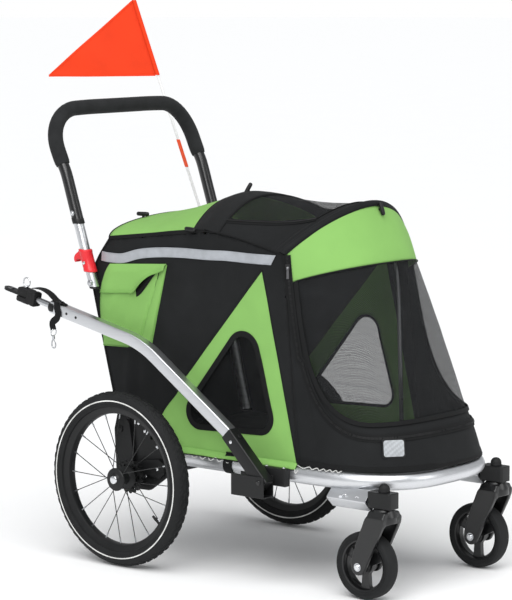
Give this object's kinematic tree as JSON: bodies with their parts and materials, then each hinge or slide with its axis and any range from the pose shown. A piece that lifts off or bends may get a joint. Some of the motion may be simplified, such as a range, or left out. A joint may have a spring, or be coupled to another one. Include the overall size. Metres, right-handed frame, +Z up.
{
  "type": "pet stroller",
  "caption": "Folding pet stroller that converts to a bicycle trailer: fabric cabin with mesh front and windows on a tube base, spoked rear wheels, swivel casters, push handle and tow arm.",
  "frame": {"origin": "centre of the bounding box in plan, on the floor under the wheels", "axes": "+X across the stroller, away from the tow arm; +Y from the cabin front towards the push handle; +Z up"},
  "size_m": [0.656, 1.3381, 1.2755],
  "materials": {
    "aluminium": "brushed",
    "steel": "zinc plated",
    "black_paint": "satin powder coat",
    "black_plastic": "fine matte grain",
    "rubber": "matte",
    "tyre": "matte, moulded tread",
    "foam": "closed-cell foam, matte",
    "green_fabric": "woven, coated",
    "black_fabric": "woven, coated",
    "mesh_fabric": "open mesh",
    "red_plastic": "gloss",
    "reflector": "ribbed",
    "orange_nylon": "thin woven nylon",
    "white_rod": "smooth fibreglass",
    "floor_grey": "flat board"
  },
  "bodies": {
    "chassis": {"axle_beam": "black_paint", "base_hoop": "aluminium", "caster_block_l": "black_plastic", "caster_block_r": "black_plastic", "caster_receiver_l": "aluminium", "caster_receiver_r": "aluminium", "cross_tube": "aluminium", "flag_socket": "black_plastic", "floor_board": "floor_grey", "floor_pad": "black_fabric", "front_band": "black_fabric", "front_mesh": "mesh_fabric", "front_panel": "green_fabric", "gusset_l": "black_paint", "gusset_r": "black_paint", "rear_wall": "black_fabric", "reflector_front": "reflector", "reflector_side": "reflector", "roof_band": "black_fabric", "roof_mesh": "mesh_fabric", "roof_rear": "green_fabric", "side_pocket": "green_fabric", "side_wall_l": "black_fabric", "side_wall_r": "black_fabric", "tow_bracket": "black_paint", "window_mesh_l": "mesh_fabric", "window_mesh_r": "mesh_fabric"},
    "frame_uprights": {"upright_l": "aluminium", "upright_r": "aluminium"},
    "bow": {"front_bow": "steel"},
    "handle_lower": {"handle_post_l": "aluminium", "handle_post_r": "aluminium"},
    "handle_upper": {"handle_tube": "black_paint", "handle_foam": "foam"},
    "sleeve_l": {"lock_sleeve_l": "red_plastic"},
    "sleeve_r": {"lock_sleeve_r": "red_plastic"},
    "button_l": {"snap_button_l": "steel"},
    "button_r": {"snap_button_r": "steel"},
    "tow": {"tow_arm": "aluminium", "tow_socket": "black_paint", "safety_strap": "black_fabric"},
    "coupler": {"hitch_coupler": "rubber"},
    "plate": {"hitch_plate": "black_paint"},
    "pin": {"pull_pin": "steel"},
    "flag_mast": {"flag_pole": "white_rod", "flag": "orange_nylon"},
    "brake": {"parking_brake": "black_paint"},
    "wheel_l": {"rear_tyre_l": "tyre", "rear_wheel_l": "black_paint"},
    "fork_l": {"caster_fork_l": "black_plastic", "caster_knob_l": "rubber"},
    "caster_l": {"caster_tyre_l": "rubber", "caster_rim_l": "black_plastic"},
    "wheel_r": {"rear_tyre_r": "tyre", "rear_wheel_r": "black_paint"},
    "fork_r": {"caster_fork_r": "black_plastic", "caster_knob_r": "rubber"},
    "caster_r": {"caster_tyre_r": "rubber", "caster_rim_r": "black_plastic"}
  },
  "joints": [
    {"name": "rear_wheel_l", "type": "hinge", "parent": "chassis", "child": "wheel_l", "pos_m": [-0.303, 0.0515, 0.2], "axis": [1, 0, 0], "continuous": true},
    {"name": "caster_swivel_l", "type": "hinge", "parent": "chassis", "child": "fork_l", "pos_m": [-0.208, -0.6275, 0.2], "axis": [0, 0, 1], "continuous": true},
    {"name": "caster_wheel_l", "type": "hinge", "parent": "fork_l", "child": "caster_l", "pos_m": [-0.208, -0.5825, 0.0738], "axis": [1, 0, 0], "continuous": true},
    {"name": "rear_wheel_r", "type": "hinge", "parent": "chassis", "child": "wheel_r", "pos_m": [0.303, 0.0515, 0.2], "axis": [1, 0, 0], "continuous": true},
    {"name": "caster_swivel_r", "type": "hinge", "parent": "chassis", "child": "fork_r", "pos_m": [0.208, -0.6275, 0.2], "axis": [0, 0, 1], "continuous": true},
    {"name": "caster_wheel_r", "type": "hinge", "parent": "fork_r", "child": "caster_r", "pos_m": [0.208, -0.5825, 0.0738], "axis": [1, 0, 0], "continuous": true},
    {"name": "frame_fold", "type": "hinge", "parent": "chassis", "child": "frame_uprights", "pos_m": [0, 0.1065, 0.3], "axis": [1, 0, 0], "range_deg": [0, 100], "deforming": ["front_band", "front_mesh", "front_panel", "rear_wall", "reflector_front", "reflector_side", "roof_band", "roof_mesh", "roof_rear", "side_pocket", "side_wall_l", "side_wall_r", "window_mesh_l", "window_mesh_r"]},
    {"name": "bow_fold", "type": "hinge", "parent": "chassis", "child": "bow", "pos_m": [0, -0.3785, 0.292], "axis": [1, 0, 0], "range_deg": [-80, 0]},
    {"name": "handle_fold", "type": "hinge", "parent": "frame_uprights", "child": "handle_lower", "pos_m": [0, 0.192, 0.632], "axis": [-1, 0, 0], "range_deg": [0, 150]},
    {"name": "handle_height", "type": "slide", "parent": "handle_lower", "child": "handle_upper", "axis": [0, 0.3173, 0.9483], "range_m": [-0.025, 0.05]},
    {"name": "lock_sleeve_l", "type": "slide", "parent": "handle_lower", "child": "sleeve_l", "axis": [0, 0.3173, 0.9483], "range_m": [0, 0.035]},
    {"name": "snap_button_l", "type": "slide", "parent": "handle_upper", "child": "button_l", "axis": [1, 0, 0], "range_m": [0, 0.0025], "stiffness_N_per_m": 800},
    {"name": "lock_sleeve_r", "type": "slide", "parent": "handle_lower", "child": "sleeve_r", "axis": [0, 0.3173, 0.9483], "range_m": [0, 0.035]},
    {"name": "snap_button_r", "type": "slide", "parent": "handle_upper", "child": "button_r", "axis": [-1, 0, 0], "range_m": [0, 0.0025], "stiffness_N_per_m": 800},
    {"name": "tow_arm_swing", "type": "hinge", "parent": "chassis", "child": "tow", "pos_m": [-0.272, -0.3445, 0.236], "axis": [1, 0, 0], "range_deg": [0, 135]},
    {"name": "coupler_swivel", "type": "hinge", "parent": "tow", "child": "coupler", "pos_m": [-0.272, 0.2885, 0.572], "axis": [0, 0.9768, 0.2142], "range_deg": [-45, 45]},
    {"name": "plate_hinge", "type": "hinge", "parent": "coupler", "child": "plate", "pos_m": [-0.272, 0.38032, 0.59213], "axis": [0, -0.2142, 0.9768], "range_deg": [-60, 60]},
    {"name": "pull_pin", "type": "slide", "parent": "coupler", "child": "pin", "axis": [0, -0.2142, 0.9768], "range_m": [0, 0.028]},
    {"name": "flag_lift", "type": "slide", "parent": "chassis", "child": "flag_mast", "axis": [0, 0.3919, 0.92], "range_m": [0, 0.06]},
    {"name": "brake_pedal", "type": "hinge", "parent": "chassis", "child": "brake", "pos_m": [0, 0.0995, 0.222], "axis": [-1, 0, 0], "range_deg": [0, 25]}
  ],
  "couplings": [
    {"joint": "bow_fold", "follows": "frame_fold", "ratio": -0.8}
  ]
}
